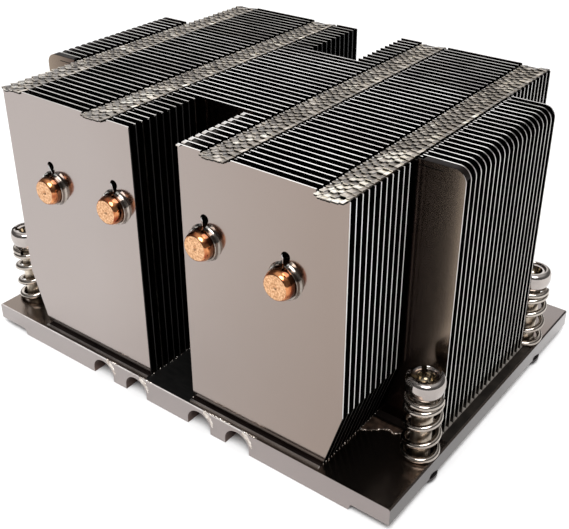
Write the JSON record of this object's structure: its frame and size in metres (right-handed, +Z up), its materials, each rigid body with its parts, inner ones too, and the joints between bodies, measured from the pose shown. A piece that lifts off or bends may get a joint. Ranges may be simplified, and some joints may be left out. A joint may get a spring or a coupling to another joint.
{
  "type": "passive server cpu heatsink",
  "caption": "Tall stacked fin block on a flanged plate with U shaped copper heat pipes and captive spring screws, for rack server airflow.",
  "frame": {"origin": "centre of the CPU contact face, the underside of the base plate's pad", "axes": "+X along the long side of the plate and the airflow through the fins, +Y away from the pipe tips, +Z up from the CPU"},
  "size_m": [0.1088, 0.079, 0.0616],
  "materials": {
    "plated_base": "polished nickel plating",
    "copper_pipe": "satin copper",
    "plated_fin": "nickel plated sheet",
    "screw_steel": "nickel plated",
    "spring_steel": "nickel plated wire",
    "ring_steel": "satin"
  },
  "bodies": {
    "heatsink": {"base_plate": "plated_base", "heat_pipe_1": "copper_pipe", "heat_pipe_2": "copper_pipe", "heat_pipe_3": "copper_pipe", "heat_pipe_4": "copper_pipe", "fin_row_01": "plated_fin", "fin_row_02": "plated_fin", "fin_row_03": "plated_fin", "fin_row_04": "plated_fin", "fin_row_05": "plated_fin", "fin_row_06": "plated_fin", "fin_row_07": "plated_fin", "fin_row_08": "plated_fin", "fin_row_09": "plated_fin", "fin_row_10": "plated_fin", "fin_row_11": "plated_fin", "fin_row_12": "plated_fin", "fin_row_13": "plated_fin", "fin_row_14": "plated_fin", "fin_row_15": "plated_fin", "fin_row_16": "plated_fin", "fin_row_17": "plated_fin", "fin_row_18": "plated_fin", "fin_row_19": "plated_fin", "fin_row_20": "plated_fin", "fin_row_21": "plated_fin", "fin_row_22": "plated_fin", "fin_row_23": "plated_fin", "fin_row_24": "plated_fin", "fin_row_25": "plated_fin", "fin_row_26": "plated_fin", "fin_row_27": "plated_fin", "fin_row_28": "plated_fin", "fin_row_29": "plated_fin", "fin_row_30": "plated_fin", "fin_row_31": "plated_fin", "fin_row_32": "plated_fin", "fin_row_33": "plated_fin", "fin_row_34": "plated_fin", "fin_row_35": "plated_fin", "fin_row_36": "plated_fin", "fin_row_37": "plated_fin", "fin_row_38": "plated_fin", "fin_row_39": "plated_fin", "fin_row_40": "plated_fin", "fin_row_41": "plated_fin", "fin_row_42": "plated_fin", "fin_row_43": "plated_fin", "spring_1": "spring_steel", "spring_2": "spring_steel", "spring_3": "spring_steel", "spring_4": "spring_steel"},
    "ring_1": {"retaining_ring_1": "ring_steel"},
    "screw_1": {"spring_screw_1": "screw_steel"},
    "ring_2": {"retaining_ring_2": "ring_steel"},
    "screw_2": {"spring_screw_2": "screw_steel"},
    "ring_3": {"retaining_ring_3": "ring_steel"},
    "screw_3": {"spring_screw_3": "screw_steel"},
    "ring_4": {"retaining_ring_4": "ring_steel"},
    "screw_4": {"spring_screw_4": "screw_steel"}
  },
  "joints": [
    {"name": "screw_press_1", "type": "slide", "parent": "heatsink", "child": "ring_1", "axis": [0, 0, -1], "range_m": [0, 0.004], "stiffness_N_per_m": 5000, "springref_m": -0.003, "deforming": ["spring_1"]},
    {"name": "screw_turn_1", "type": "hinge", "parent": "ring_1", "child": "screw_1", "pos_m": [-0.0506, -0.031, 0], "axis": [0, 0, 1], "continuous": true},
    {"name": "screw_press_2", "type": "slide", "parent": "heatsink", "child": "ring_2", "axis": [0, 0, -1], "range_m": [0, 0.004], "stiffness_N_per_m": 5000, "springref_m": -0.003, "deforming": ["spring_2"]},
    {"name": "screw_turn_2", "type": "hinge", "parent": "ring_2", "child": "screw_2", "pos_m": [0.0506, -0.023, 0], "axis": [0, 0, 1], "continuous": true},
    {"name": "screw_press_3", "type": "slide", "parent": "heatsink", "child": "ring_3", "axis": [0, 0, -1], "range_m": [0, 0.004], "stiffness_N_per_m": 5000, "springref_m": -0.003, "deforming": ["spring_3"]},
    {"name": "screw_turn_3", "type": "hinge", "parent": "ring_3", "child": "screw_3", "pos_m": [0.0506, 0.023, 0], "axis": [0, 0, 1], "continuous": true},
    {"name": "screw_press_4", "type": "slide", "parent": "heatsink", "child": "ring_4", "axis": [0, 0, -1], "range_m": [0, 0.004], "stiffness_N_per_m": 5000, "springref_m": -0.003, "deforming": ["spring_4"]},
    {"name": "screw_turn_4", "type": "hinge", "parent": "ring_4", "child": "screw_4", "pos_m": [-0.0506, 0.031, 0], "axis": [0, 0, 1], "continuous": true}
  ]
}
